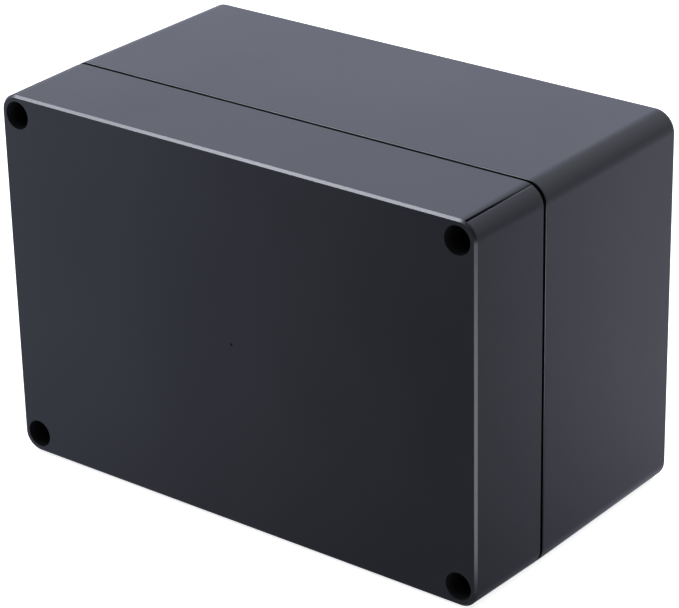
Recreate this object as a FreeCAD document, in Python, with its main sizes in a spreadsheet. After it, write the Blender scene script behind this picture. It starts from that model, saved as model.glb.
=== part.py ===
import FreeCAD, Part
import Sketcher

import enum
import math
import os

# A black moulded box for electronics, in two halves that meet at a parting line.
# It stands on one long narrow side: X runs along the long side, Y from the lid
# at the front to the back, and Z up. The origin is the middle of the underside.
# Every body is drawn from the middle of the parting plane, or from the point
# where a screw's axis crosses that plane, so y = 0 is where the halves meet.

doc = FreeCAD.newDocument("project_box")

SIZES = [
    # The outside of the box
    ("box_length", 160.0, "long side, left to right"),
    ("box_height", 110.0, "short side, floor to top"),
    ("box_depth", 90.0, "lid front to back"),
    ("lid_depth", 29.0, "lid front to parting line"),
    ("corner_radius", 6.0, "four long outer corners"),
    ("lid_draft", 0.6, "how far each side of the lid leans in, rim to front"),
    ("front_chamfer", 0.65, "bevel round the lid front"),
    ("back_round", 0.4, "rounded edge round the back"),
    ("reveal_width", 0.5, "each half's share of the parting line"),
    ("reveal_depth", 0.5, "how deep the parting line is cut in"),
    # The moulded walls
    ("wall", 3.6, "side walls at the parting line"),
    ("lid_front", 3.2, "front plate of the lid"),
    ("base_back", 3.2, "back plate of the base"),
    ("inner_bevel", 0.9, "bevelled foot of the inner walls"),
    # The seal
    ("seal_turn", 6.4, "radius of the seal's middle line round a screw"),
    ("seal_bend", 4.0, "radius where that line leaves the wall"),
    ("groove_width", 1.6, "groove in the lid's rim"),
    ("groove_depth", 3.0, "groove in the lid's rim"),
    ("gasket_height", 1.4, "rubber in the bottom of the groove"),
    ("gasket_gap", 0.05, "play each side of the rubber"),
    ("tongue_gap", 0.2, "play each side of the base's tongue"),
    # The lid screws and what holds them
    ("screw_inset", 6.3, "screw axis from both outer sides"),
    ("head_bore", 8.0, "deep hole in the lid for the head"),
    ("seat_height", 6.0, "screw head's seat above the parting plane"),
    ("head_gap", 0.4, "play round the head"),
    ("head_height", 2.6, "pan head"),
    ("recess_span", 4.2, "cross recess, tip to tip"),
    ("recess_arm", 1.2, "cross recess, width of an arm"),
    ("recess_depth", 1.6, "cross recess"),
    ("thread_size", 4.0, "outer diameter of the thread"),
    ("screw_length", 16.0, "under the head"),
    ("tip_room", 4.0, "hole beyond the screw's tip"),
    ("shank_gap", 0.25, "play round the screw in the lid"),
    ("thread_gap", 0.05, "play round the screw in insert and ring"),
    ("insert_wall", 0.8, "brass round the thread"),
    ("insert_length", 8.0, "threaded insert"),
    ("insert_sink", 0.3, "insert below the tower's top"),
    ("insert_gap", 0.02, "plastic moulded close round the insert"),
    ("pilot_gap", 0.3, "play round the screw behind the insert"),
    ("ring_width", 1.7, "retaining ring, bore to rim"),
    ("ring_height", 1.8, "retaining ring"),
    ("ring_play", 0.2, "recess deeper than the ring"),
    # The board standoffs on the inside of the back
    ("board_inset_x", 20.0, "board screw from the left or right side"),
    ("board_inset_z", 17.0, "board screw from the floor or the top"),
    ("standoff_width", 7.0, "round standoff"),
    ("standoff_height", 8.0, "standoff above the back plate"),
    ("standoff_bore", 2.6, "hole for a board screw"),
    ("standoff_web", 1.5, "plastic left under that hole"),
    # The mark where the lid was filled
    ("gate_width", 0.9, "small round dimple"),
    ("gate_depth", 0.3, "small round dimple"),
]

sheet = doc.addObject("Spreadsheet::Sheet", "Sizes")
for row, (alias, number, meaning) in enumerate(SIZES, start=1):
    sheet.set(f"A{row}", meaning)
    sheet.set(f"B{row}", str(number))
    sheet.setAlias(f"B{row}", alias)
doc.recompute()

# Sizes that follow from the driving ones, as expressions on the sheet
HALF_LENGTH = "Sizes.box_length / 2"
HALF_HEIGHT = "Sizes.box_height / 2"
BASE_DEPTH = "(Sizes.box_depth - Sizes.lid_depth)"
PARTING_Y = "Sizes.lid_depth - Sizes.box_depth / 2"
SCREW_X = "(Sizes.box_length / 2 - Sizes.screw_inset)"
SCREW_Z = "(Sizes.box_height / 2 - Sizes.screw_inset)"
INNER_FLOOR = f"({BASE_DEPTH} - Sizes.base_back)"
TONGUE_HEIGHT = "(Sizes.groove_depth - Sizes.gasket_height)"
SHANK_RADIUS = "Sizes.thread_size / 2"
HEAD_RADIUS = "(Sizes.head_bore / 2 - Sizes.head_gap)"
HEAD_TOP = "(Sizes.seat_height + Sizes.head_height)"
TIP_Y = "(Sizes.screw_length - Sizes.seat_height)"
INSERT_RADIUS = "(Sizes.thread_size / 2 + Sizes.thread_gap + Sizes.insert_wall)"
INSERT_END = "(Sizes.insert_sink + Sizes.insert_length)"
RING_BORE = "(Sizes.thread_size / 2 + Sizes.thread_gap)"
RING_RADIUS = "(Sizes.thread_size / 2 + Sizes.thread_gap + Sizes.ring_width)"
RING_DEPTH = "(Sizes.ring_height + Sizes.ring_play)"

# The box's four corners, counterclockwise as seen from the front
CORNERS = [(1, 1), (-1, 1), (-1, -1), (1, -1)]


class Axis(enum.IntEnum):
    """How a sketch numbers its own two axes, which start at its origin."""
    ACROSS = -1
    UPWARD = -2


class Point(enum.IntEnum):
    """How a sketch numbers the points of an edge."""
    START = 1
    END = 2
    CENTRE = 3


def size(expression):
    """The number that an expression on the sheet gives."""
    return float(sheet.evalExpression(expression))


def new_body(name, centre_x="0", centre_z="0"):
    """A body drawn from a point on the parting plane, given from the box's middle."""
    body = doc.addObject("PartDesign::Body", name)
    body.Label = name
    body.setExpression("Placement.Base.x", centre_x)
    body.setExpression("Placement.Base.y", PARTING_Y)
    body.setExpression("Placement.Base.z", f"{HALF_HEIGHT} + {centre_z}")
    return body


def new_sketch(body, name, role="XZ_Plane", forward=None):
    """A sketch on one of the body's own planes, or forward of it by an expression."""
    plane = next(item for item in body.Origin.OriginFeatures if item.Role == role)
    sketch = body.newObject("Sketcher::SketchObject", f"{body.Name}_{name}")
    sketch.AttachmentSupport = [(plane, "")]
    sketch.MapMode = "FlatFace"
    if forward:
        sketch.setExpression("AttachmentOffset.Base.z", forward)
    return sketch


def constrain(sketch, bonds, sizes):
    """Adds the fixed bonds, then each (constraint, expression) of sizes."""
    sketch.addConstraint(bonds)
    for constraint, expression in sizes:
        index = sketch.addConstraint(constraint)
        sketch.setExpression(f"Constraints[{index}]", expression)


def from_middle(axis, side, edge, point, expression):
    """Holds a point at a distance from the sketch's origin, to its plus or minus side."""
    kind = "DistanceX" if axis == 0 else "DistanceY"
    distance = size(expression)
    if side > 0:
        return Sketcher.Constraint(
            kind, Axis.ACROSS, Point.START, edge, point, distance), expression
    return Sketcher.Constraint(
        kind, edge, point, Axis.ACROSS, Point.START, distance), expression


def draw_outline(sketch, inset="0"):
    """The box's rounded outline, or one inside it by inset."""
    first = sketch.GeometryCount
    reach = (f"{HALF_LENGTH} - {inset}", f"{HALF_HEIGHT} - {inset}")
    bend = f"Sizes.corner_radius - {inset}"
    radius = size(bend)
    half = [size(text) for text in reach]
    centres = [
        FreeCAD.Vector(side_x * (half[0] - radius), side_z * (half[1] - radius), 0)
        for side_x, side_z in CORNERS
    ]
    arcs = []
    for turn, centre in enumerate(centres):
        begin = turn * math.pi / 2
        circle = Part.Circle(centre, FreeCAD.Vector(0, 0, 1), radius)
        arcs.append(Part.ArcOfCircle(circle, begin, begin + math.pi / 2))
    lines = [
        Part.LineSegment(arcs[turn].EndPoint, arcs[(turn + 1) % 4].StartPoint)
        for turn in range(4)
    ]
    sketch.addGeometry(arcs + lines, False)
    bonds = []
    sizes = []
    for turn, (side_x, side_z) in enumerate(CORNERS):
        arc = first + turn
        line = first + 4 + turn
        next_arc = first + (turn + 1) % 4
        bonds.append(Sketcher.Constraint("Tangent", arc, Point.END, line, Point.START))
        bonds.append(Sketcher.Constraint("Tangent", line, Point.END, next_arc, Point.START))
        level = turn % 2 == 0
        bonds.append(Sketcher.Constraint("Horizontal" if level else "Vertical", line))
        sizes.append((Sketcher.Constraint("Radius", arc, radius), bend))
        axis = 1 if level else 0
        side = side_z if level else side_x
        sizes.append(from_middle(axis, side, line, Point.START, reach[axis]))
    constrain(sketch, bonds, sizes)


def draw_seal_loop(sketch, inward):
    """A closed line that follows the walls and bends round each screw on its inner side.

    Every such line lies inward of the seal's middle line by the given expression, so
    the groove, the tongue, the gasket and the inner walls are all parallel.
    """
    first = sketch.GeometryCount
    wall_gap = f"(Sizes.wall / 2 + {inward})"
    turn_radius = f"Sizes.seal_turn + {inward}"
    bend_radius = f"Sizes.seal_bend - {inward}"
    turn_size = size(turn_radius)
    bend_size = size(bend_radius)
    # A bend's middle lies this far from the wall and from the screw, on every such line
    sideways = size("Sizes.screw_inset - Sizes.wall / 2 - Sizes.seal_bend")
    apart = size("Sizes.seal_turn + Sizes.seal_bend")
    along = math.sqrt(apart ** 2 - sideways ** 2)
    lean = math.atan2(sideways, along)
    upward = FreeCAD.Vector(0, 0, 1)
    edges = []
    for turn, (side_x, side_z) in enumerate(CORNERS):
        quarter = turn * math.pi / 2
        screw = FreeCAD.Vector(side_x * size(SCREW_X), side_z * size(SCREW_Z), 0)
        rotation = FreeCAD.Rotation(upward, math.degrees(quarter))
        before = screw + rotation.multVec(FreeCAD.Vector(sideways, -along, 0))
        after = screw + rotation.multVec(FreeCAD.Vector(-along, sideways, 0))
        half_turn = math.pi / 2 + quarter
        edges.append(Part.ArcOfCircle(
            Part.Circle(before, upward, bend_size), quarter, half_turn + lean))
        edges.append(Part.ArcOfCircle(
            Part.Circle(screw, upward, turn_size), half_turn + math.pi / 2 - lean,
            quarter + 1.5 * math.pi + lean))
        edges.append(Part.ArcOfCircle(
            Part.Circle(after, upward, bend_size), quarter - lean, half_turn))
    lines = [
        Part.LineSegment(edges[3 * turn + 2].EndPoint, edges[(3 * turn + 3) % 12].StartPoint)
        for turn in range(4)
    ]
    sketch.addGeometry(edges + lines, False)
    bonds = []
    sizes = []
    for turn, (side_x, side_z) in enumerate(CORNERS):
        before = first + 3 * turn
        column = before + 1
        after = before + 2
        line = first + 12 + turn
        next_before = first + (3 * turn + 3) % 12
        bonds.append(Sketcher.Constraint("Tangent", before, Point.END, column, Point.END))
        bonds.append(Sketcher.Constraint("Tangent", column, Point.START, after, Point.START))
        bonds.append(Sketcher.Constraint("Tangent", after, Point.END, line, Point.START))
        bonds.append(Sketcher.Constraint("Tangent", line, Point.END, next_before, Point.START))
        level = turn % 2 == 0
        bonds.append(Sketcher.Constraint("Horizontal" if level else "Vertical", line))
        axis = 1 if level else 0
        side = side_z if level else side_x
        half = HALF_HEIGHT if level else HALF_LENGTH
        sizes.append((Sketcher.Constraint("Radius", before, bend_size), bend_radius))
        sizes.append((Sketcher.Constraint("Radius", column, turn_size), turn_radius))
        sizes.append((Sketcher.Constraint("Radius", after, bend_size), bend_radius))
        sizes.append(from_middle(0, side_x, column, Point.CENTRE, SCREW_X))
        sizes.append(from_middle(1, side_z, column, Point.CENTRE, SCREW_Z))
        sizes.append(from_middle(axis, side, line, Point.START, f"{half} - {wall_gap}"))
    constrain(sketch, bonds, sizes)


def draw_four_circles(sketch, across, middle_x, middle_z):
    """Four equal circles, one in each corner, at the given distances from the middle."""
    radius = f"({across}) / 2"
    sizes = []
    for side_x, side_z in CORNERS:
        centre = FreeCAD.Vector(side_x * size(middle_x), side_z * size(middle_z), 0)
        circle = Part.Circle(centre, FreeCAD.Vector(0, 0, 1), size(radius))
        edge = sketch.addGeometry(circle, False)
        sizes.append((Sketcher.Constraint("Radius", edge, size(radius)), radius))
        sizes.append(from_middle(0, side_x, edge, Point.CENTRE, middle_x))
        sizes.append(from_middle(1, side_z, edge, Point.CENTRE, middle_z))
    constrain(sketch, [], sizes)


def draw_polygon(sketch, points):
    """A closed outline through points, each an (across, along) pair of expressions."""
    first = sketch.GeometryCount
    count = len(points)
    places = [FreeCAD.Vector(size(across), size(along), 0) for across, along in points]
    sketch.addGeometry(
        [Part.LineSegment(places[spot], places[(spot + 1) % count]) for spot in range(count)],
        False)
    bonds = []
    sizes = []
    for spot, (across, along) in enumerate(points):
        line = first + spot
        bonds.append(Sketcher.Constraint(
            "Coincident", line, Point.END, first + (spot + 1) % count, Point.START))
        if across == "0":
            bonds.append(Sketcher.Constraint("PointOnObject", line, Point.START, Axis.UPWARD))
        else:
            sizes.append(from_middle(0, 1, line, Point.START, across))
        if along == "0":
            bonds.append(Sketcher.Constraint("PointOnObject", line, Point.START, Axis.ACROSS))
        else:
            sizes.append(from_middle(1, 1, line, Point.START, along))
    constrain(sketch, bonds, sizes)


def pad(body, sketch, length):
    """Grows a sketch forward, towards the front of the box."""
    feature = body.newObject("PartDesign::Pad", f"{sketch.Name}_pad")
    feature.Profile = sketch
    feature.setExpression("Length", length)
    sketch.Visibility = False
    doc.recompute()
    return feature


def pocket(body, sketch, depth, forward=False):
    """Cuts a sketch to a depth, towards the back of the box or the front."""
    before = body.Shape.Volume
    feature = body.newObject("PartDesign::Pocket", f"{sketch.Name}_pocket")
    feature.Profile = sketch
    feature.Reversed = forward
    feature.setExpression("Length", depth)
    doc.recompute()
    if not body.Shape.Volume < before:
        raise RuntimeError(f"{feature.Name} cuts nothing")
    return feature


def revolve(body, sketch):
    """Turns a profile about the screw's axis."""
    feature = body.newObject("PartDesign::Revolution", f"{sketch.Name}_turned")
    feature.Profile = sketch
    feature.ReferenceAxis = (sketch, ["V_Axis"])
    feature.Angle = 360
    doc.recompute()
    return feature


def edges_at(shape, along_y):
    """Names of the edges that lie wholly at one distance behind the parting plane."""
    names = []
    for number, edge in enumerate(shape.Edges, start=1):
        box = edge.BoundBox
        if abs(box.YMin - along_y) < 1e-4 and abs(box.YMax - along_y) < 1e-4:
            names.append(f"Edge{number}")
    return names


def dress(body, kind, name, names, field, expression):
    """A fillet or chamfer on named edges of the body's last feature."""
    base = body.Tip
    feature = body.newObject(f"PartDesign::{kind}", f"{body.Name}_{name}")
    feature.Base = (base, names)
    feature.setExpression(field, expression)
    doc.recompute()
    return feature


def cut_reveal(body, forward):
    """Steps the outer edge back beside the parting plane, for the dark line there."""
    sketch = new_sketch(body, "reveal")
    draw_outline(sketch)
    draw_outline(sketch, "Sizes.reveal_depth")
    pocket(body, sketch, "Sizes.reveal_width", forward=forward)


def make_base():
    """The rear half: walls, back plate, corner towers, tongue and board standoffs."""
    body = new_body("base")
    sketch = new_sketch(body, "outline", forward=f"-{BASE_DEPTH}")
    draw_outline(sketch)
    pad(body, sketch, BASE_DEPTH)
    names = edges_at(body.Tip.Shape, size(BASE_DEPTH))
    dress(body, "Fillet", "back_round", names, "Radius", "Sizes.back_round")

    # The inside, whose line leaves a tower in each corner
    sketch = new_sketch(body, "inside")
    draw_seal_loop(sketch, "Sizes.wall / 2")
    pocket(body, sketch, INNER_FLOOR)
    names = edges_at(body.Tip.Shape, size(INNER_FLOOR))
    dress(body, "Chamfer", "inner_bevel", names, "Size", "Sizes.inner_bevel")

    # Standoffs that carry a circuit board
    board_x = f"({HALF_LENGTH} - Sizes.board_inset_x)"
    board_z = f"({HALF_HEIGHT} - Sizes.board_inset_z)"
    sketch = new_sketch(body, "standoffs", forward=f"-{INNER_FLOOR}")
    draw_four_circles(sketch, "Sizes.standoff_width", board_x, board_z)
    pad(body, sketch, "Sizes.standoff_height")
    sketch = new_sketch(
        body, "board_holes", forward=f"-({INNER_FLOOR} - Sizes.standoff_height)")
    draw_four_circles(sketch, "Sizes.standoff_bore", board_x, board_z)
    pocket(body, sketch, "Sizes.standoff_height - Sizes.standoff_web")

    # The tongue that presses on the gasket
    sketch = new_sketch(body, "tongue")
    half_tongue = "(Sizes.groove_width / 2 - Sizes.tongue_gap)"
    draw_seal_loop(sketch, f"-{half_tongue}")
    draw_seal_loop(sketch, half_tongue)
    pad(body, sketch, TONGUE_HEIGHT)

    # Towers: a seat for the insert, and room behind it for the screw's tip
    sketch = new_sketch(body, "insert_holes")
    draw_four_circles(sketch, f"2 * ({INSERT_RADIUS} + Sizes.insert_gap)", SCREW_X, SCREW_Z)
    pocket(body, sketch, INSERT_END)
    sketch = new_sketch(body, "pilot_holes")
    draw_four_circles(sketch, "Sizes.thread_size + 2 * Sizes.pilot_gap", SCREW_X, SCREW_Z)
    pocket(body, sketch, f"{TIP_Y} + Sizes.tip_room")

    cut_reveal(body, forward=False)
    return body


def make_lid():
    """The front half: front plate, leaning walls, screw columns, seal groove and gate mark."""
    body = new_body("lid")
    sketch = new_sketch(body, "outline")
    draw_outline(sketch)
    block = pad(body, sketch, "Sizes.lid_depth")
    block.setExpression("TaperAngle", "-atan(Sizes.lid_draft / Sizes.lid_depth)")
    doc.recompute()
    names = edges_at(body.Tip.Shape, -size("Sizes.lid_depth"))
    dress(body, "Chamfer", "front_chamfer", names, "Size", "Sizes.front_chamfer")

    # The inside, whose line leaves a column in each corner
    sketch = new_sketch(body, "inside")
    draw_seal_loop(sketch, "Sizes.wall / 2")
    depth = "Sizes.lid_depth - Sizes.lid_front"
    pocket(body, sketch, depth, forward=True)
    names = edges_at(body.Tip.Shape, -size(depth))
    dress(body, "Chamfer", "inner_bevel", names, "Size", "Sizes.inner_bevel")

    # The groove in the rim, which holds the gasket and takes the tongue
    sketch = new_sketch(body, "groove")
    draw_seal_loop(sketch, "-Sizes.groove_width / 2")
    draw_seal_loop(sketch, "Sizes.groove_width / 2")
    pocket(body, sketch, "Sizes.groove_depth", forward=True)

    # Stepped holes for the screws and their retaining rings
    sketch = new_sketch(body, "head_holes", forward="Sizes.lid_depth")
    draw_four_circles(sketch, "Sizes.head_bore", SCREW_X, SCREW_Z)
    pocket(body, sketch, "Sizes.lid_depth - Sizes.seat_height")
    sketch = new_sketch(body, "shank_holes")
    draw_four_circles(sketch, "Sizes.thread_size + 2 * Sizes.shank_gap", SCREW_X, SCREW_Z)
    pocket(body, sketch, "Sizes.seat_height", forward=True)
    sketch = new_sketch(body, "ring_recesses")
    draw_four_circles(sketch, f"2 * ({RING_RADIUS} + Sizes.thread_gap)", SCREW_X, SCREW_Z)
    pocket(body, sketch, RING_DEPTH, forward=True)

    # The mark where the plastic entered the mould, in the middle of the front
    sketch = new_sketch(body, "gate_mark", forward="Sizes.lid_depth")
    circle = Part.Circle(
        FreeCAD.Vector(0, 0, 0), FreeCAD.Vector(0, 0, 1), size("Sizes.gate_width / 2"))
    edge = sketch.addGeometry(circle, False)
    constrain(
        sketch, [Sketcher.Constraint("Coincident", edge, Point.CENTRE, Axis.ACROSS, Point.START)],
        [(Sketcher.Constraint("Diameter", edge, size("Sizes.gate_width")), "Sizes.gate_width")])
    pocket(body, sketch, "Sizes.gate_depth")

    cut_reveal(body, forward=True)
    return body


def make_gasket():
    """One endless rubber strip that fills the bottom of the lid's groove."""
    body = new_body("gasket")
    sketch = new_sketch(body, "section", forward=TONGUE_HEIGHT)
    half_width = "(Sizes.groove_width / 2 - Sizes.gasket_gap)"
    draw_seal_loop(sketch, f"-{half_width}")
    draw_seal_loop(sketch, half_width)
    pad(body, sketch, "Sizes.gasket_height")
    return body


def make_screw(name, centre_x, centre_z, angle):
    """A pan head machine screw, its head on the lid's seat and its tip in the tower."""
    body = new_body(name, centre_x, centre_z)
    body.Placement.Rotation = FreeCAD.Rotation(FreeCAD.Vector(0, 1, 0), angle)
    sketch = new_sketch(body, "profile", "XY_Plane")
    draw_polygon(sketch, [
        ("0", f"-{HEAD_TOP}"),
        (HEAD_RADIUS, f"-{HEAD_TOP}"),
        (HEAD_RADIUS, "-Sizes.seat_height"),
        (SHANK_RADIUS, "-Sizes.seat_height"),
        (SHANK_RADIUS, TIP_Y),
        ("0", TIP_Y),
    ])
    revolve(body, sketch)

    # A cross recess
    sketch = new_sketch(body, "recess", forward=HEAD_TOP)
    tip = "Sizes.recess_span / 2"
    arm = "Sizes.recess_arm / 2"
    draw_polygon(sketch, [
        (tip, f"-{arm}"), (tip, arm), (arm, arm),
        (arm, tip), (f"-{arm}", tip), (f"-{arm}", arm),
        (f"-{tip}", arm), (f"-{tip}", f"-{arm}"), (f"-{arm}", f"-{arm}"),
        (f"-{arm}", f"-{tip}"), (arm, f"-{tip}"), (arm, f"-{arm}"),
    ])
    pocket(body, sketch, "Sizes.recess_depth")
    return body


def make_insert(name, centre_x, centre_z):
    """A brass insert with a smooth bore in place of its fine thread."""
    body = new_body(name, centre_x, centre_z)
    sketch = new_sketch(body, "profile", "XY_Plane")
    bore = f"{SHANK_RADIUS} + Sizes.thread_gap"
    draw_polygon(sketch, [
        (bore, "Sizes.insert_sink"),
        (INSERT_RADIUS, "Sizes.insert_sink"),
        (INSERT_RADIUS, INSERT_END),
        (bore, INSERT_END),
    ])
    revolve(body, sketch)
    return body


def make_ring(name, centre_x, centre_z):
    """A rubber ring that grips the screw under the lid, so it stays in its hole."""
    body = new_body(name, centre_x, centre_z)
    sketch = new_sketch(body, "profile", "XY_Plane")
    draw_polygon(sketch, [
        (RING_BORE, f"-{RING_DEPTH}"),
        (RING_RADIUS, f"-{RING_DEPTH}"),
        (RING_RADIUS, "-Sizes.ring_play"),
        (RING_BORE, "-Sizes.ring_play"),
    ])
    revolve(body, sketch)
    return body


pieces = [make_base(), make_lid(), make_gasket()]

# Where each screw's cross came to rest when it was tightened, in degrees
SCREW_ANGLES = [12.0, 58.0, 33.0, 79.0]

for number, (side_x, side_z) in enumerate(CORNERS, start=1):
    centre_x = f"{side_x} * {SCREW_X}"
    centre_z = f"{side_z} * {SCREW_Z}"
    angle = SCREW_ANGLES[number - 1]
    pieces.append(make_screw(f"lid_screw_{number}", centre_x, centre_z, angle))
    pieces.append(make_insert(f"threaded_insert_{number}", centre_x, centre_z))
    pieces.append(make_ring(f"retaining_ring_{number}", centre_x, centre_z))

doc.recompute()
for item in doc.Objects:
    if "Invalid" in item.State or "Error" in item.State:
        raise RuntimeError(f"{item.Name} could not be built: {item.State}")
    if item.TypeId == "Sketcher::SketchObject" and not item.FullyConstrained:
        raise RuntimeError(f"{item.Name} is not fully constrained")
for piece in pieces:
    if piece.Shape.isNull() or not piece.Shape.isValid():
        raise RuntimeError(f"{piece.Label} has no valid shape")
    if len(piece.Shape.Solids) != 1:
        raise RuntimeError(f"{piece.Label} is not one solid")

os.makedirs("parts", exist_ok=True)
for piece in pieces:
    piece.Shape.exportStep(os.path.join("parts", f"{piece.Label}.step"))
    print(f"{piece.Label}: {piece.Shape.Volume / 1000:.2f} cm3, {len(piece.Shape.Faces)} faces")
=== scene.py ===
import math

import bmesh
import bpy
from mathutils import Matrix, Vector


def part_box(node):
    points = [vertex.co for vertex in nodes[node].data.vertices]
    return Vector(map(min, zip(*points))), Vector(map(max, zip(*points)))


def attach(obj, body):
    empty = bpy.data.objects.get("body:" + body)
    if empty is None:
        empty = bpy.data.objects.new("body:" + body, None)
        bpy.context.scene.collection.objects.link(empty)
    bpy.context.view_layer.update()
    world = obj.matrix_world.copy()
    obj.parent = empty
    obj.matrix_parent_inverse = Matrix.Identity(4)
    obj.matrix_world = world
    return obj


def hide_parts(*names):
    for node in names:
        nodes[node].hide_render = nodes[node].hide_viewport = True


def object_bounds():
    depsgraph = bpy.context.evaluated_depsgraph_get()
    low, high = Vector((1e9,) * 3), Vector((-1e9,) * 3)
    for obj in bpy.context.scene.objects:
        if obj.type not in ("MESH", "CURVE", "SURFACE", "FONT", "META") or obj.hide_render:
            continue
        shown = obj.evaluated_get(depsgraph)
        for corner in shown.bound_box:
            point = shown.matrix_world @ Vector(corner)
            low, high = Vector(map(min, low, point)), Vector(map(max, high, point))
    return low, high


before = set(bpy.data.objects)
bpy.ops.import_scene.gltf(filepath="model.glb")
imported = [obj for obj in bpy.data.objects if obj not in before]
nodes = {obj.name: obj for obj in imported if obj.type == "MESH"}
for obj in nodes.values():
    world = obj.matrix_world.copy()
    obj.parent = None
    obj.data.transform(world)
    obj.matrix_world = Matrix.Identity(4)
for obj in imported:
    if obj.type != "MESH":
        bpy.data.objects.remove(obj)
cad_low, cad_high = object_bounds()


# The base is the deep back half of the box, one injection moulding in black ABS with a fine satin spark
# finish. It carries the screw towers, the board standoffs and the tongue that presses the seal. Its
# edges are slightly soft, and rounder at its mouth, where a narrow channel parts it from the lid. The
# channel carries painted shade: a near-black colour and no gloss.
length = cad_high.x - cad_low.x
height = cad_high.z - cad_low.z
mid_height = height / 2
parting_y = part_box("lid")[1][1]
corner_radius = 0.006
reveal_width = 0.0005
reveal_depth = 0.0005
shadow_reach = 0.00007
shadow_floor = 0.00003
rim_depth = 0.0002
edge_softening = 0.00024
edge_segments = 2
base_parting_rounding = 0.00036
parting_segments = 4
sharp_from = math.radians(35)
flat_within = math.radians(0.1)
weld_gap = 1e-6
abs_dark = (0.0098, 0.0100, 0.0118, 1)
abs_light = (0.0128, 0.0131, 0.0154, 1)
# Painted shade: the near-black colour of the narrow channel between the halves.
painted_channel_black = (0.0015, 0.0015, 0.0018, 1)
abs_gloss_tint = (0.86, 0.89, 1.0, 1)
abs_index = 1.5
abs_gloss = 0.5
abs_roughness = (0.30, 0.35)
flow_scale, flow_detail = 18, 3
flow_patches = (0.35, 0.65)
flow_polish = (0.3, 0.7)
spark_scale = 1500
spark_roughness = 0.05
peel_scale = 260
peel_share = 0.5
abs_bump_strength = 0.5
abs_bump_depth = 0.00001


def add_node(tree, kind, sockets=None, **settings):
    made = tree.nodes.new(kind)
    for name, value in settings.items():
        setattr(made, name, value)
    for key, value in (sockets or {}).items():
        if isinstance(value, bpy.types.NodeSocket):
            tree.links.new(value, made.inputs[key])
        else:
            made.inputs[key].default_value = value
    return made


def calc(tree, operation, *values):
    return add_node(tree, "ShaderNodeMath", dict(enumerate(values)), operation=operation).outputs[0]


def vector_calc(tree, operation, sockets, output="Vector"):
    return add_node(tree, "ShaderNodeVectorMath", sockets, operation=operation).outputs[output]


def spread(tree, value, low, high, to_low, to_high, curve="LINEAR"):
    sockets = {"Value": value, "From Min": low, "From Max": high, "To Min": to_low, "To Max": to_high}
    return add_node(tree, "ShaderNodeMapRange", sockets, interpolation_type=curve).outputs["Result"]


def axes_of(tree, vector):
    return add_node(tree, "ShaderNodeSeparateXYZ", {"Vector": vector}).outputs


def joined_axes(tree, **axes):
    return add_node(tree, "ShaderNodeCombineXYZ", axes).outputs["Vector"]


def mix_colours(tree, factor, first, second):
    sockets = {"Factor": factor, "A": first, "B": second}
    return add_node(tree, "ShaderNodeMix", sockets, data_type="RGBA").outputs["Result"]


def cloud(tree, place, scale, detail=2):
    sockets = {"Vector": place, "Scale": scale, "Detail": detail}
    return add_node(tree, "ShaderNodeTexNoise", sockets).outputs["Fac"]


def grained(tree, relief, strength, depth):
    sockets = {"Height": relief, "Strength": strength, "Distance": depth}
    return add_node(tree, "ShaderNodeBump", sockets).outputs["Normal"]


def new_finish(name):
    finish = bpy.data.materials.new(name)
    finish.use_nodes = True
    tree = finish.node_tree
    place = add_node(tree, "ShaderNodeTexCoord").outputs["Object"]
    return finish, tree, tree.nodes["Principled BSDF"], place


def channel_painted_shade(tree, place):
    """Painted shade: 1 on the skin of the narrow channel between the halves, 0 elsewhere."""
    parts = axes_of(tree, place)
    from_middle = calc(tree, "ABSOLUTE", calc(tree, "SUBTRACT", parts["Z"], mid_height))
    past_x = calc(tree, "SUBTRACT", calc(tree, "ABSOLUTE", parts["X"]), length / 2 - corner_radius)
    past_z = calc(tree, "SUBTRACT", from_middle, mid_height - corner_radius)
    outwards = joined_axes(tree, X=calc(tree, "MAXIMUM", past_x, 0), Z=calc(tree, "MAXIMUM", past_z, 0))
    reach = vector_calc(tree, "LENGTH", {0: outwards}, "Value")
    near_skin = calc(tree, "GREATER_THAN", reach, corner_radius - reveal_depth - shadow_floor)
    near_parting = calc(tree, "COMPARE", parts["Y"], parting_y, reveal_width + shadow_reach)
    return calc(tree, "MULTIPLY", near_skin, near_parting)


def moulded_abs(name, mark=None):
    """Black ABS, painted shade in the channel; a mark changes the normal and painted shade of the plain skin.
    """
    finish, tree, skin, place = new_finish(name)
    flow = cloud(tree, place, flow_scale, flow_detail)
    pellets = spread(tree, flow, *flow_patches, 0, 1)
    # Painted shade in the channel between the halves: its colour turns near-black and its gloss is taken
    # away.
    painted_channel_shade = channel_painted_shade(tree, place)
    tone = mix_colours(tree, painted_channel_shade, mix_colours(tree, pellets, abs_dark, abs_light), painted_channel_black)
    tree.links.new(tone, skin.inputs["Base Color"])
    spark = cloud(tree, place, spark_scale)
    polish = spread(tree, flow, *flow_polish, *abs_roughness)
    tree.links.new(calc(tree, "MULTIPLY_ADD", spark, spark_roughness, polish), skin.inputs["Roughness"])
    skin.inputs["IOR"].default_value = abs_index
    skin.inputs["Specular Tint"].default_value = abs_gloss_tint
    relief = calc(tree, "MULTIPLY_ADD", cloud(tree, place, peel_scale), peel_share, spark)
    grain = grained(tree, relief, abs_bump_strength, abs_bump_depth)
    normal, painted_shade = mark(tree, grain, painted_channel_shade) if mark else (grain, painted_channel_shade)
    tree.links.new(normal, skin.inputs["Normal"])
    tree.links.new(spread(tree, painted_shade, 0, 1, abs_gloss, 0), skin.inputs["Specular IOR Level"])
    return finish


def on_rim(point, level):
    """True for a point on the box's outer outline in the plane y = level."""
    past_x = max(0, abs(point.x) - (length / 2 - corner_radius))
    past_z = max(0, abs(point.z - mid_height) - (mid_height - corner_radius))
    return abs(point.y - level) < weld_gap and math.hypot(past_x, past_z) > corner_radius - rim_depth


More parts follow.
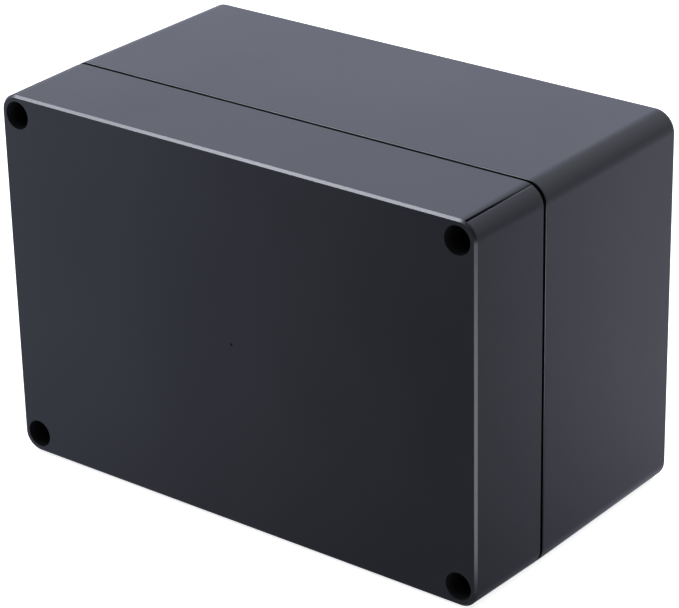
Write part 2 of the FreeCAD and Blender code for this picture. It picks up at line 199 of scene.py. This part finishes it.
def soften_edges(piece, width, finish, parting_edge=None, parting_rounding=0):
    piece.data.materials.clear()
    piece.data.materials.append(finish)
    piece.data.attributes.remove(piece.data.attributes["custom_normal"])
    piece.data.polygons.foreach_set("use_smooth", [True] * len(piece.data.polygons))
    piece.modifiers.new("weld", "WELD").merge_threshold = weld_gap
    flatten = piece.modifiers.new("join flat faces", "DECIMATE")
    flatten.decimate_type = "DISSOLVE"
    flatten.angle_limit = flat_within
    if parting_edge is not None:
        ring = piece.vertex_groups.new(name="parting edge")
        rim_points = [vertex.index for vertex in piece.data.vertices if on_rim(vertex.co, parting_edge)]
        ring.add(rim_points, 1, "REPLACE")
        round_off = piece.modifiers.new("round the parting edge", "BEVEL")
        round_off.limit_method = "VGROUP"
        round_off.vertex_group = ring.name
        round_off.width = parting_rounding
        round_off.segments = parting_segments
    soften = piece.modifiers.new("soften edges", "BEVEL")
    soften.width = width
    soften.segments = edge_segments
    soften.limit_method = "ANGLE"
    soften.angle_limit = sharp_from
    soften.miter_outer = "MITER_ARC"
    piece.modifiers.new("shade by area", "WEIGHTED_NORMAL")


base_finish = moulded_abs("base_black_abs")
soften_edges(nodes["base"], edge_softening, base_finish, parting_y + reveal_width, base_parting_rounding)


# The threaded inserts are turned brass bushes, knurled in two bands and pressed into the mouths of the
# base's four screw towers. Each has an M4 thread inside for the lid's screw.
pitch = 0.0007
thread_root = 0.00157
thread_crest = 0.00200
thread_play = 0.00005
thread_runout = 0.0006
thread_flank = math.radians(30)
crest_flat = 1 / 8
turn_steps = 48
thread_rows = 8
merge_gap = 2e-7
insert_mouth_bevel = 0.00035
insert_waist = 0.00245
insert_band = 0.0030
knurl_depth = 0.00018
knurl_teeth = 24
assembly_turns = [math.radians(angle) for angle in (12, 58, 33, 79)]
brass_bright = (0.76, 0.56, 0.25, 1)
brass_dull = (0.58, 0.41, 0.19, 1)
brass_roughness = (0.24, 0.42)
tarnish_scale, tarnish_detail = 700, 3
tarnish_patches = (0.35, 0.7)


def on_axis(radius, turn, along):
    return Vector((radius * math.sin(turn), along, radius * math.cos(turn)))


def lathe(mesh, profile, steps, tooth_depth=None):
    """Joins rings of points round the Y axis; profile holds (radius, place along the axis)."""
    rings = []
    for radius, along in profile:
        ring = []
        for step in range(steps):
            cut = tooth_depth(radius, along, step) if tooth_depth else 0
            ring.append(mesh.verts.new(on_axis(radius - cut, math.tau * step / steps, along)))
        rings.append(ring)
    for ring, following in zip(rings, rings[1:]):
        for step in range(steps):
            after = (step + 1) % steps
            mesh.faces.new((ring[step], ring[after], following[after], following[step]))
    return rings


def thread_height(share_of_pitch):
    """1 on the crest, 0 in the root, for a 60 degree thread with its crest at share 0."""
    from_crest = abs((share_of_pitch + 0.5) % 1 - 0.5)
    flank = (thread_crest - thread_root) * math.tan(thread_flank) / pitch
    return min(1, max(0, 1 - (from_crest - crest_flat / 2) / flank))


def cut_thread(mesh, start, end, root, crest, end_radius):
    """A right-hand thread's skin in helical rows, running out to a plain circle at both ends."""
    rows = math.ceil((end - start) / pitch + 1) * thread_rows
    grid = []
    for row in range(rows + 1):
        line = []
        for step in range(turn_steps + 1):
            lead = pitch * (row / thread_rows - 1 + step / turn_steps)
            along = min(end, max(start, start + lead))
            runout = min(1, (along - start) / thread_runout, (end - along) / thread_runout)
            radius = root + (crest - root) * thread_height(row / thread_rows)
            radius = end_radius + (radius - end_radius) * runout
            line.append(mesh.verts.new(on_axis(radius, math.tau * step / turn_steps, along)))
        grid.append(line)
    for line, following in zip(grid, grid[1:]):
        for step in range(turn_steps):
            mesh.faces.new((line[step], line[step + 1], following[step + 1], following[step]))


def finish_mesh(mesh, name):
    bmesh.ops.remove_doubles(mesh, verts=mesh.verts, dist=merge_gap)
    bmesh.ops.dissolve_degenerate(mesh, edges=mesh.edges, dist=merge_gap)
    bmesh.ops.recalc_face_normals(mesh, faces=mesh.faces)
    data = bpy.data.meshes.new(name)
    mesh.to_mesh(data)
    mesh.free()
    data.polygons.foreach_set("use_smooth", [True] * len(data.polygons))
    return data


def place_round_piece(name, data, node, body, turn):
    """Sets a turned piece on the axis of the CAD node that it stands for."""
    low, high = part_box(node)
    piece = bpy.data.objects.new(name, data)
    bpy.context.scene.collection.objects.link(piece)
    piece.location = ((low[0] + high[0]) / 2, 0, (low[2] + high[2]) / 2)
    piece.rotation_euler.y = turn
    bpy.context.view_layer.update()
    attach(piece, body)
    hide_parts(node)


def turned_brass():
    finish, tree, skin, place = new_finish("insert_turned_brass")
    skin.inputs["Metallic"].default_value = 1
    tarnish = spread(tree, cloud(tree, place, tarnish_scale, tarnish_detail), *tarnish_patches, 0, 1)
    tree.links.new(mix_colours(tree, tarnish, brass_bright, brass_dull), skin.inputs["Base Color"])
    tree.links.new(spread(tree, tarnish, 0, 1, *brass_roughness), skin.inputs["Roughness"])
    return finish


def insert_mesh():
    low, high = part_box("threaded_insert_1")
    outer = (high[0] - low[0]) / 2
    front, back = low[1], high[1]
    bore = thread_crest + thread_play
    mouth = bore + insert_mouth_bevel
    front_bevel, back_bevel = front + insert_mouth_bevel, back - insert_mouth_bevel
    waist_front, waist_back = front + insert_band, back - insert_band
    outside = [(mouth, front), (outer - insert_mouth_bevel, front), (outer, front_bevel),
               (outer, waist_front), (insert_waist, waist_front), (insert_waist, waist_back),
               (outer, waist_back), (outer, back_bevel), (outer - insert_mouth_bevel, back), (mouth, back)]

    def knurl(radius, along, step):
        return knurl_depth if radius == outer and step % (turn_steps // knurl_teeth) else 0

    mesh = bmesh.new()
    lathe(mesh, outside, turn_steps, knurl)
    lathe(mesh, [(bore, front_bevel), (mouth, front)], turn_steps)
    lathe(mesh, [(bore, back_bevel), (mouth, back)], turn_steps)
    cut_thread(mesh, front_bevel, back_bevel, thread_root + 2 * thread_play, bore, bore)
    return finish_mesh(mesh, "threaded_insert")


insert_data = insert_mesh()
insert_data.materials.append(turned_brass())
for number, turn in enumerate(assembly_turns, start=1):
    place_round_piece(f"knurled_insert_{number}", insert_data, f"threaded_insert_{number}", "base",
                      turn)


# The lid is the shallow front half, moulded in the same black ABS. A fine witness line of its mould runs
# along each of its long corners. Its upper step and a shoulder above it carry painted shade, their gloss
# taken away; a tilted normal makes the step below it lit. The lid lifts off forwards once the four
# screws in its corners are undone.
lid_parting_rounding = 0.00044
lid_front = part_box("lid")[0][1]
witness_angle = math.radians(24.0)
witness_reach = (0.012, 0.022)
witness_fade = 0.5
upper_flank = (0.00082, 0.00052)
lower_flank = 0.00032
upper_steepness = 1.0
lower_steepness = (1.35, 0.25)
shoulder_reach = 0.0020
shoulder_shade = 0.35
skin_depth = 0.0012
side_facing = 0.5


def witness_line(tree, grain, painted_channel_shade):
    """The normal and the painted shade of a skin that carries the line, narrower and fainter to the back."""
    coords = add_node(tree, "ShaderNodeTexCoord").outputs
    parts = axes_of(tree, coords["Object"])
    facing = axes_of(tree, coords["Normal"])
    across = calc(tree, "SUBTRACT", calc(tree, "ABSOLUTE", parts["X"]), length / 2 - corner_radius)
    from_middle = calc(tree, "SUBTRACT", parts["Z"], mid_height)
    up = calc(tree, "SUBTRACT", calc(tree, "ABSOLUTE", from_middle), mid_height - corner_radius)
    aside = calc(tree, "SUBTRACT", calc(tree, "MULTIPLY", across, math.cos(witness_angle)),
                 calc(tree, "MULTIPLY", up, math.sin(witness_angle)))
    from_centre = calc(tree, "ADD", calc(tree, "MULTIPLY", across, math.sin(witness_angle)),
                       calc(tree, "MULTIPLY", up, math.cos(witness_angle)))
    on_corner = calc(tree, "MULTIPLY", calc(tree, "GREATER_THAN", from_centre, corner_radius - skin_depth),
                     calc(tree, "LESS_THAN", calc(tree, "ABSOLUTE", facing["Y"]), side_facing))
    fading = spread(tree, parts["Y"], *(lid_front + reach for reach in witness_reach), 1, witness_fade)
    half_flank = spread(tree, parts["Y"], lid_front, parting_y, *(width / 2 for width in upper_flank))
    upper = calc(tree, "COMPARE", calc(tree, "ADD", aside, half_flank), 0, half_flank)
    # Painted shade: gloss is taken away on the step above the line and, partly, on a shoulder above that.
    shaded = calc(tree, "MULTIPLY", upper, calc(tree, "MULTIPLY", on_corner, fading))
    above_line = calc(tree, "MULTIPLY", calc(tree, "LESS_THAN", aside, 0), on_corner)
    shading = spread(tree, aside, -shoulder_reach, 0, 0, shoulder_shade)
    shoulder_painted_shade = calc(tree, "MULTIPLY", shading, above_line)
    lower = calc(tree, "COMPARE", aside, lower_flank / 2, lower_flank / 2)
    lit = calc(tree, "MULTIPLY", calc(tree, "MULTIPLY", lower, on_corner),
               spread(tree, parts["Y"], lid_front, parting_y, *lower_steepness))
    tilt = calc(tree, "SUBTRACT", calc(tree, "MULTIPLY", shaded, upper_steepness), lit)
    outwards = calc(tree, "MULTIPLY", calc(tree, "SIGN", parts["X"]), math.cos(witness_angle))
    inwards = calc(tree, "MULTIPLY", calc(tree, "SIGN", from_middle), -math.sin(witness_angle))
    lean = vector_calc(tree, "SCALE", {0: joined_axes(tree, X=outwards, Z=inwards), "Scale": tilt})
    normal = vector_calc(tree, "NORMALIZE", {0: vector_calc(tree, "ADD", {0: grain, 1: lean})})
    painted_shade = calc(tree, "MAXIMUM", calc(tree, "MAXIMUM", shaded, shoulder_painted_shade), painted_channel_shade)
    return normal, painted_shade


lid_finish = moulded_abs("lid_black_abs", witness_line)
soften_edges(nodes["lid"], edge_softening, lid_finish, parting_y - reveal_width, lid_parting_rounding)


# The gasket is one endless strip of soft black silicone, laid in the groove of the lid's rim.
# The base's tongue presses into it when the screws are tightened.
gasket_rounding = 0.0003
gasket_black = (0.030, 0.030, 0.032)
gasket_roughness = 0.55
bloom_scale, bloom_detail = 420, 3
bloom_patches = (0.3, 0.7)
bloom_gain = 1.35
bloom_roughness = 0.12
rubber_grain_scale = 1800
rubber_bump_strength = 0.4
rubber_bump_depth = 0.00002


def soft_rubber(name, tone, polish):
    finish, tree, skin, place = new_finish(name)
    bloom = spread(tree, cloud(tree, place, bloom_scale, bloom_detail), *bloom_patches, 0, 1)
    dusty = (*(min(1, bloom_gain * part) for part in tone), 1)
    tree.links.new(mix_colours(tree, bloom, (*tone, 1), dusty), skin.inputs["Base Color"])
    tree.links.new(spread(tree, bloom, 0, 1, polish, polish + bloom_roughness), skin.inputs["Roughness"])
    grain = grained(tree, cloud(tree, place, rubber_grain_scale), rubber_bump_strength, rubber_bump_depth)
    tree.links.new(grain, skin.inputs["Normal"])
    return finish


gasket_finish = soft_rubber("gasket_silicone", gasket_black, gasket_roughness)
soften_edges(nodes["gasket"], gasket_rounding, gasket_finish)


# The retaining rings are small rubber washers. Each grips one screw just above the parting line, so that
# the screw stays in the lid when the lid is taken off.
ring_rounding = 0.0005
rounding_steps = 5
ring_black = (0.036, 0.036, 0.036)
ring_roughness = 0.5


def ring_mesh():
    low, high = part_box("retaining_ring_1")
    outer = (high[0] - low[0]) / 2
    bore = thread_crest + thread_play
    front, back = low[1], high[1]
    corners = [(bore, back, 1, -1), (outer, back, -1, -1), (outer, front, -1, 1), (bore, front, 1, 1)]
    profile = []
    for index, (radius, along, sideways, lengthways) in enumerate(corners):
        middle, level = radius + sideways * ring_rounding, along + lengthways * ring_rounding
        for step in range(rounding_steps + 1):
            turn = math.pi - math.tau / 4 * (index + step / rounding_steps)
            radial, axial = ring_rounding * math.cos(turn), ring_rounding * math.sin(turn)
            profile.append((middle + radial, level + axial))
    mesh = bmesh.new()
    lathe(mesh, profile + profile[:1], turn_steps)
    return finish_mesh(mesh, "retaining_ring")


ring_data = ring_mesh()
ring_data.materials.append(soft_rubber("ring_rubber", ring_black, ring_roughness))
for number in range(1, 5):
    place_round_piece(f"rubber_ring_{number}", ring_data, f"retaining_ring_{number}", f"ring_{number}",
                      0)


# The lid's screws are M4 pan heads with a cross recess, cold headed and thread-rolled from stainless
# wire. They sit at the bottom of the deep holes in the lid's corners and hold the two halves together.
crown_rise = 0.0011
crown_steps = 10
head_rim = 0.0004
recess_depth = 0.0016
recess_span = 0.0042
recess_arm = 0.0012
recess_floor_share = 0.45
recess_clearance = 0.0004
shank_radius = 0.00198
seat_height = 0.006
threaded_length = 0.0095
tip_radius = 0.0014
tip_lead = 0.0005
steel_grey = (0.60, 0.59, 0.57, 1)
steel_roughness = (0.22, 0.36)
rolled_scale, rolled_detail = 900, 4
rolled_patches = (0.3, 0.7)
steel_grain_scale = 2600
steel_bump_strength = 0.3
steel_bump_depth = 0.00001


def stainless():
    finish, tree, skin, place = new_finish("screw_stainless")
    skin.inputs["Metallic"].default_value = 1
    skin.inputs["Base Color"].default_value = steel_grey
    rolled = spread(tree, cloud(tree, place, rolled_scale, rolled_detail), *rolled_patches, *steel_roughness)
    tree.links.new(rolled, skin.inputs["Roughness"])
    grain = grained(tree, cloud(tree, place, steel_grain_scale), steel_bump_strength, steel_bump_depth)
    tree.links.new(grain, skin.inputs["Normal"])
    return finish


def cross_outline(span, arm):
    """The twelve corners of a cross, in order round it."""
    tip, side = span / 2, arm / 2
    quarter = [Vector((side, tip)), Vector((side, side)), Vector((tip, side))]
    return [Matrix.Rotation(-math.tau * turn / 4, 2) @ corner for turn in range(4) for corner in quarter]


def recess_cutter(head_top):
    levels = [(head_top - recess_clearance, 1), (head_top + recess_depth, recess_floor_share)]
    mesh = bmesh.new()
    loops = []
    for along, share in levels:
        outline = cross_outline(recess_span * share, recess_arm * (1 + share) / 2)
        loops.append([mesh.verts.new((point.x, along, point.y)) for point in outline])
    for index in range(len(loops[0])):
        after = (index + 1) % len(loops[0])
        mesh.faces.new((loops[0][index], loops[0][after], loops[1][after], loops[1][index]))
    mesh.faces.new(loops[0])
    mesh.faces.new(loops[1])
    return finish_mesh(mesh, "recess_cutter")


def screw_mesh():
    low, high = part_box("lid_screw_1")
    head = (high[0] - low[0]) / 2
    top, tip = low[1], high[1]
    seat = parting_y - seat_height
    thread_start = tip - threaded_length
    crown = []
    for step in range(1, crown_steps + 1):
        turn = math.pi / 2 * step / crown_steps
        crown.append((head * math.sin(turn), top + crown_rise * (1 - math.cos(turn))))
    shaft = [(head, seat - head_rim), (head - head_rim / 2, seat), (shank_radius, seat),
             (shank_radius, thread_start)]
    point = [(thread_root, tip - tip_lead), (tip_radius, tip)]
    mesh = bmesh.new()
    rings = lathe(mesh, crown + shaft, turn_steps)
    centre = mesh.verts.new((0, top, 0))
    for step in range(turn_steps):
        mesh.faces.new((rings[0][step], rings[0][(step + 1) % turn_steps], centre))
    cut_thread(mesh, thread_start, tip - tip_lead, thread_root, thread_crest, thread_root)
    lathe(mesh, [(shank_radius, thread_start), (thread_root, thread_start)], turn_steps)
    mesh.faces.new(lathe(mesh, point, turn_steps)[-1])
    solid = bpy.data.objects.new("screw_blank", finish_mesh(mesh, "screw_blank"))
    cutter = bpy.data.objects.new("recess_cutter", recess_cutter(top))
    for helper in (solid, cutter):
        bpy.context.scene.collection.objects.link(helper)
    cut = solid.modifiers.new("cross recess", "BOOLEAN")
    cut.object = cutter
    cut.solver = "EXACT"
    recessed = bmesh.new()
    recessed.from_object(solid, bpy.context.evaluated_depsgraph_get())
    for helper in (solid, cutter):
        bpy.data.objects.remove(helper)
    data = finish_mesh(recessed, "lid_screw")
    data.set_sharp_from_angle(angle=sharp_from)
    return data


screw_data = screw_mesh()
screw_data.materials.append(stainless())
for number, turn in enumerate(assembly_turns, start=1):
    place_round_piece(f"pan_head_screw_{number}", screw_data, f"lid_screw_{number}", f"screw_{number}",
                      turn)


# The camera has a long lens and stands on the front right. It looks down on the lid, the top and the
# right end, as in the photograph.
camera_place = Vector((0.45345, -0.57265, 0.38812))
camera_turn, camera_tilt, camera_roll = math.radians(38.30), math.radians(-24.85), math.radians(1.26)
camera_lens = 154.11
camera_sensor = 36
camera_far = 100

camera = bpy.data.objects.new("camera", bpy.data.cameras.new("camera"))
bpy.context.scene.collection.objects.link(camera)
bpy.context.scene.camera = camera
camera.data.lens = camera_lens
camera.data.sensor_width = camera_sensor
camera.data.clip_end = camera_far
camera.matrix_world = (Matrix.Translation(camera_place) @ Matrix.Rotation(camera_turn, 4, "Z")
                       @ Matrix.Rotation(camera_tilt, 4, "X") @ Matrix.Rotation(camera_roll, 4, "Y")
                       @ Matrix.Rotation(math.radians(90), 4, "X"))
bpy.context.scene.view_settings.view_transform = "Standard"


# The box stands on a plain white paper sheet, in front of a white backdrop that closes the view all
# round. The sheet glows a little, so that it stays white beside the black plastic.
sheet_reach = 6.0
sheet_white = (0.88, 0.88, 0.88, 1)
glow_white = (1, 1, 1, 1)
sheet_glow = 0.84
backdrop_radius = 2.9
backdrop_steps = 64
backdrop_black = (0, 0, 0, 1)
backdrop_glow = 1


def glowing_paper(name, colour, glow):
    finish = new_finish(name)[0]
    skin = finish.node_tree.nodes["Principled BSDF"]
    skin.inputs["Base Color"].default_value = colour
    skin.inputs["Roughness"].default_value = 1
    skin.inputs["Specular IOR Level"].default_value = 0
    skin.inputs["Emission Color"].default_value = glow_white
    skin.inputs["Emission Strength"].default_value = glow
    return finish


def set_up_stage(name, mesh, level, finish):
    data = bpy.data.meshes.new(name)
    mesh.to_mesh(data)
    mesh.free()
    data.materials.append(finish)
    stage = bpy.data.objects.new(name, data)
    stage.location.z = level
    bpy.context.scene.collection.objects.link(stage)
    return stage


def flat_square():
    mesh = bmesh.new()
    bmesh.ops.create_grid(mesh, x_segments=1, y_segments=1, size=sheet_reach / 2)
    return mesh


def half_dome():
    mesh = bmesh.new()
    bmesh.ops.create_uvsphere(mesh, u_segments=backdrop_steps, v_segments=backdrop_steps // 2,
                              radius=backdrop_radius)
    below_sheet = [vertex for vertex in mesh.verts if vertex.co.z < -weld_gap]
    bmesh.ops.delete(mesh, geom=below_sheet, context="VERTS")
    return mesh


sheet = set_up_stage("white_sheet", flat_square(), 0, glowing_paper("white_sheet", sheet_white, sheet_glow))
sheet.visible_glossy = False

backdrop_finish = glowing_paper("white_backdrop", backdrop_black, backdrop_glow)
backdrop_finish.cycles.emission_sampling = "NONE"
backdrop = set_up_stage("white_backdrop", half_dome(), 0, backdrop_finish)
backdrop.visible_diffuse = False
backdrop.visible_glossy = False
backdrop.visible_shadow = False
backdrop.visible_transmission = False


# The plastic mirrors a room that is light behind the box and dim beside the camera, with a darker strip
# next to its window. Its tone turns warmer to the right.
bright_side = Vector((-0.62, 0.70, 0.35)).normalized()
room_middle, room_slope = 0.45, 0.745
room_least = 0.06
skyline_shade, skyline_rise = 0.7, 0.3
left_tint = (0.90, 0.94, 1.14, 1)
right_tint = (0.98, 0.98, 1.04, 1)
tint_turns = (-0.4, 0.1)
window_edge, frame_middle, wall_edge = -0.42, -0.17, 0.08
frame_shade = 0.24

room = bpy.data.worlds.new("studio_room")
bpy.context.scene.world = room
room.use_nodes = True
room_tree = room.node_tree
room_place = add_node(room_tree, "ShaderNodeTexCoord").outputs["Generated"]
room_parts = axes_of(room_tree, room_place)
towards_light = vector_calc(room_tree, "DOT_PRODUCT", {0: room_place, 1: bright_side}, "Value")
room_light = calc(room_tree, "MULTIPLY_ADD", towards_light, room_slope, room_middle)
skyline = spread(room_tree, room_parts["Z"], 0, skyline_rise, skyline_shade, 1, "SMOOTHSTEP")
room_light = calc(room_tree, "MULTIPLY", calc(room_tree, "MAXIMUM", room_light, room_least), skyline)
frame_dip = calc(room_tree, "MINIMUM",
                 spread(room_tree, room_parts["X"], window_edge, frame_middle, 0, frame_shade, "SMOOTHSTEP"),
                 spread(room_tree, room_parts["X"], frame_middle, wall_edge, frame_shade, 0, "SMOOTHSTEP"))
room_light = calc(room_tree, "SUBTRACT", room_light, frame_dip)
to_right = spread(room_tree, room_parts["X"], *tint_turns, 0, 1)
room_tone = mix_colours(room_tree, to_right, left_tint, right_tint)
room_tree.links.new(room_light, room_tree.nodes["Background"].inputs["Strength"])
room_tree.links.new(room_tone, room_tree.nodes["Background"].inputs["Color"])


# The box's upright faces mirror a wide glowing plane just under the sheet, a stand-in for a lit table top
# that shows in reflections only. Its glow brightens towards the back left, and a painted shadow darkens it a
# little at the foot of the box's front.
table_level = -0.001
across_view = Vector((0.788, -0.616, 0))
along_view = Vector((0.616, 0.788, 0))
front_middle, front_slope = 0.50, -3.4
front_tint = (0.88, 0.93, 1.12, 1)
foot_begins = (-0.15, -0.04)
foot_ends = (-0.03, 0.03)
foot_shade = 0.10
back_begins = (-0.02, 0.155)
back_middle, back_slope = 1.02, -7.0
back_tint = (0.95, 0.945, 1.13, 1)
table_least, table_most = 0.05, 0.86

table_finish, table_tree, table_skin, table_place = new_finish("mirrored_table")
table_tree.nodes.remove(table_skin)
across = vector_calc(table_tree, "DOT_PRODUCT", {0: table_place, 1: across_view}, "Value")
along = vector_calc(table_tree, "DOT_PRODUCT", {0: table_place, 1: along_view}, "Value")
behind = spread(table_tree, along, *back_begins, 0, 1, "SMOOTHSTEP")
# Painted shadow: the table's glow dips at the foot of the box's front.
painted_foot_shadow = calc(table_tree, "MINIMUM", spread(table_tree, along, *foot_begins, 0, foot_shade),
                spread(table_tree, along, *foot_ends, foot_shade, 0))
front_light = calc(table_tree, "MULTIPLY_ADD", across, front_slope, front_middle)
front_light = calc(table_tree, "SUBTRACT", front_light, painted_foot_shadow)
back_light = calc(table_tree, "MULTIPLY_ADD", across, back_slope, back_middle)
blend = {"Factor": behind, "A": front_light, "B": back_light}
table_light = add_node(table_tree, "ShaderNodeMix", blend).outputs["Result"]
table_light = calc(table_tree, "MINIMUM", calc(table_tree, "MAXIMUM", table_light, table_least), table_most)
table_tone = mix_colours(table_tree, behind, front_tint, back_tint)
glow = add_node(table_tree, "ShaderNodeEmission", {"Color": table_tone, "Strength": table_light})
table_tree.links.new(glow.outputs["Emission"], table_tree.nodes["Material Output"].inputs["Surface"])
table = set_up_stage("mirrored_table", flat_square(), table_level, table_finish)
table.visible_camera = False
table.visible_diffuse = False
table.visible_shadow = False
table.visible_transmission = False


# Five soft boxes light the studio. The key box on the left and the low card and side card on the right
# lie where the box's edges mirror them, and the sky card lies where its top does. These four show in
# reflections only, and a wide box overhead gives the even light.
key_direction = Vector((-0.558, -0.423, 0.714))
key_size = 0.5
key_radiance = 16
low_card_place = Vector((0.183, -0.1455, 0.0))
low_card_size = 0.18
low_card_radiance = 4.8
side_card_place = Vector((0.255, -0.045, 0.0))
side_card_size = 0.11
side_card_radiance = 7.0
overhead_place = Vector((0, 0, 2.2))
overhead_size = 3.0
overhead_radiance = 1.1
sky_card_place = Vector((-0.15, 0.10, 0.95))
sky_card_size = 0.6
sky_card_radiance = 1.2
floor_middle = Vector((0, 0, 0))
straight_up = Vector((0, 0, 1))


def soft_box(name, place, aim, size, radiance):
    """A square area light; its power gives the stated brightness of its face."""
    light = bpy.data.objects.new(name, bpy.data.lights.new(name, "AREA"))
    light.data.shape = "SQUARE"
    light.data.size = size
    light.data.energy = radiance * math.pi * size * size
    light.location = place
    light.rotation_euler = (aim - place).to_track_quat("-Z", "Y").to_euler()
    light.visible_camera = False
    bpy.context.scene.collection.objects.link(light)
    return light


def reflected_box(name, place, aim, size, radiance):
    soft_box(name, place, aim, size, radiance).visible_diffuse = False


key_aim = Vector((0, lid_front, height))
reflected_box("key_box", key_aim + key_direction, key_aim, key_size, key_radiance)
reflected_box("low_card", low_card_place, low_card_place + straight_up, low_card_size, low_card_radiance)
reflected_box("side_card", side_card_place, side_card_place + straight_up, side_card_size, side_card_radiance)
overhead = soft_box("overhead_box", overhead_place, floor_middle, overhead_size, overhead_radiance)
overhead.visible_glossy = False
reflected_box("sky_card", sky_card_place, height * straight_up, sky_card_size, sky_card_radiance)
